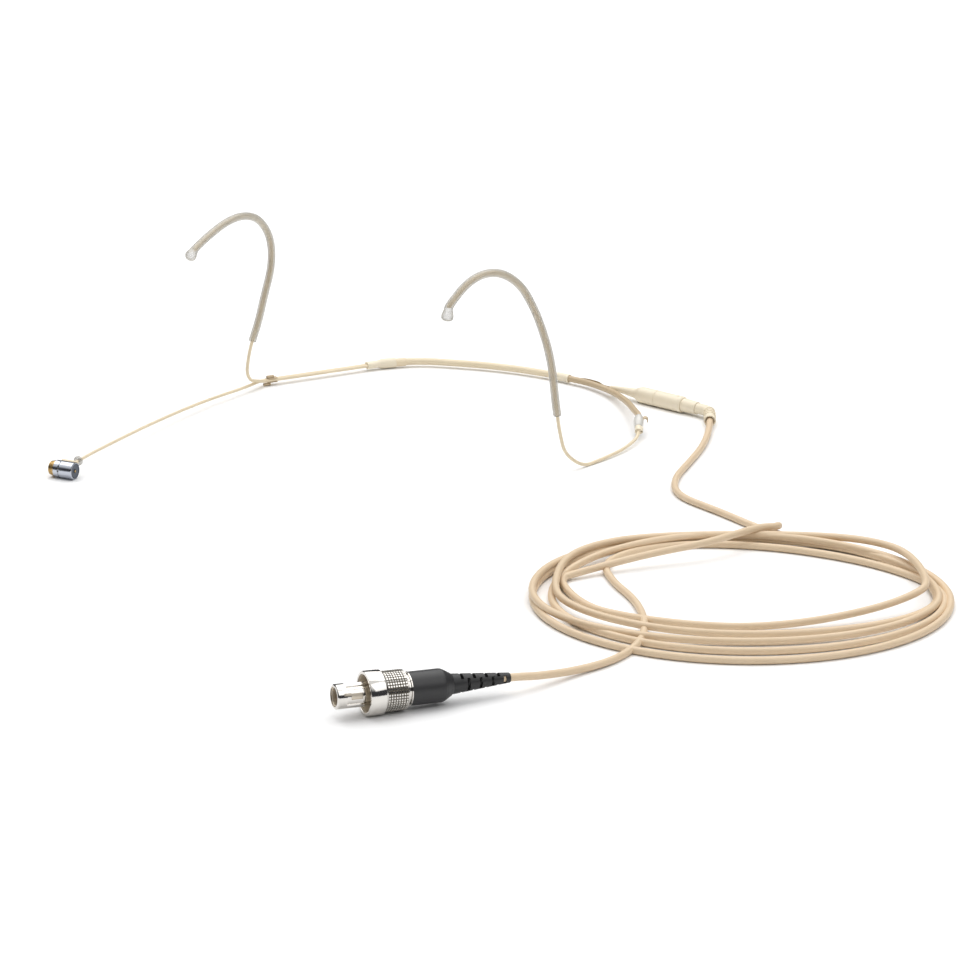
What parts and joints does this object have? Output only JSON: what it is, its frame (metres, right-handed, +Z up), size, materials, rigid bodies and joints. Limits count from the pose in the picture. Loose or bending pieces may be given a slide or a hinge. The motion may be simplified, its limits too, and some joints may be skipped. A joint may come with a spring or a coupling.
{
  "type": "headset microphone",
  "caption": "Slim stage headset microphone: small capsule on a thin boom, wire neckband, sprung ear hooks, in-line connector, coiled thin cable and a screened plug.",
  "frame": {"origin": "middle of the headset's footprint, on the table it lies on, without the cable", "axes": "+Z up off the table; -Y is the way the wearer faces, from the neckband towards the capsule; +X is the wearer's left"},
  "size_m": [0.2285, 0.2098, 0.052],
  "materials": {
    "steel": "turned, satin",
    "gold": "gold plated",
    "film": "metallised film",
    "board": "circuit board",
    "dark_face": "fine matt",
    "beige_coat": "smooth, slightly satin",
    "beige_rubber": "soft matt",
    "cream_plastic": "satin",
    "cream_rubber": "satin",
    "beige_shell": "satin",
    "beige_plastic": "matt",
    "clear_resin": "clear, glossy",
    "silicone": "translucent, satin",
    "cable_jacket": "satin",
    "dark_lead": "enamel",
    "spring_steel": "drawn wire",
    "nickel": "polished",
    "black_plastic": "satin",
    "black_rubber": "soft satin"
  },
  "bodies": {
    "frame": {"junction_sleeve": "cream_rubber", "front_ferrule": "cream_plastic", "band_tube": "beige_coat", "band_core": "spring_steel", "rear_ferrule": "cream_plastic", "rear_soft_tube": "beige_rubber", "signal_lead": "dark_lead", "near_clip_barrel": "silicone", "near_end_ring": "cream_plastic", "cable_keeper": "cream_plastic", "strain_relief_cone": "cream_rubber", "socket_shell": "beige_shell", "socket_insulator": "black_plastic", "socket_pin": "gold", "plug_insert": "black_plastic", "back_shell": "beige_shell", "elbow_boot": "cream_rubber", "cable_lead": "cable_jacket", "cable_coil": "cable_jacket", "cable_crossing": "cable_jacket", "cable_tail": "cable_jacket", "plug_bend_relief": "black_rubber", "plug_nut": "black_plastic", "nut_rim": "nickel", "plug_body": "nickel", "plug_collet": "black_plastic", "plug_cable_end": "cable_jacket", "collar_spring": "spring_steel", "plug_nose": "nickel", "plug_insulator": "beige_plastic", "plug_contact_a": "gold", "plug_contact_b": "gold", "plug_contact_c": "gold"},
    "boom": {"boom_tube": "beige_coat", "boom_lead": "dark_lead", "boom_collar": "clear_resin", "capsule_arm": "beige_coat", "capsule_housing": "steel", "capsule_rear_cap": "gold", "capsule_vent_ring": "gold", "capsule_diaphragm_ring": "gold", "capsule_diaphragm": "film", "capsule_spacer": "black_plastic", "capsule_backplate": "gold", "capsule_insulator": "black_plastic", "capsule_board": "board", "capsule_face_plate": "dark_face", "capsule_centre_pin": "gold"},
    "right_hook": {"far_hook_wire": "beige_coat", "far_hook_sleeve": "silicone"},
    "left_hook": {"near_hook_wire": "beige_coat", "near_hook_sleeve": "silicone"},
    "right_clip": {"far_clip": "cream_plastic"},
    "coupling": {"coupling_ring": "beige_shell"},
    "collar": {"release_collar": "nickel"}
  },
  "joints": [
    {"name": "boom_swivel", "type": "hinge", "parent": "frame", "child": "boom", "pos_m": [-0.04022, 0.04467, 0.00135], "axis": [-0.3679, -0.9298, 0], "range_deg": [-15, 8]},
    {"name": "right_hook_swivel", "type": "hinge", "parent": "frame", "child": "right_hook", "pos_m": [-0.03938, 0.04433, 0.00135], "axis": [-0.3679, -0.9298, 0], "range_deg": [-15, 15]},
    {"name": "right_clip_slide", "type": "slide", "parent": "frame", "child": "right_clip", "axis": [0.3679, 0.9298, 0], "range_m": [0, 0.015]},
    {"name": "left_hook_swivel", "type": "hinge", "parent": "frame", "child": "left_hook", "pos_m": [0.04706, 0.0435, 0.00229], "axis": [0.5921, -0.7801, -0.202], "range_deg": [-20, 20]},
    {"name": "coupling_turn", "type": "hinge", "parent": "frame", "child": "coupling", "pos_m": [0.03919, 0.06627, 0.002], "axis": [0.9996, -0.028, 0], "range_deg": [0, 720]},
    {"name": "collar_release", "type": "slide", "parent": "frame", "child": "collar", "axis": [0.4609, 0.8868, -0.035], "range_m": [0, 0.0006], "stiffness_N_per_m": 2500, "springref_m": -0.0004}
  ]
}
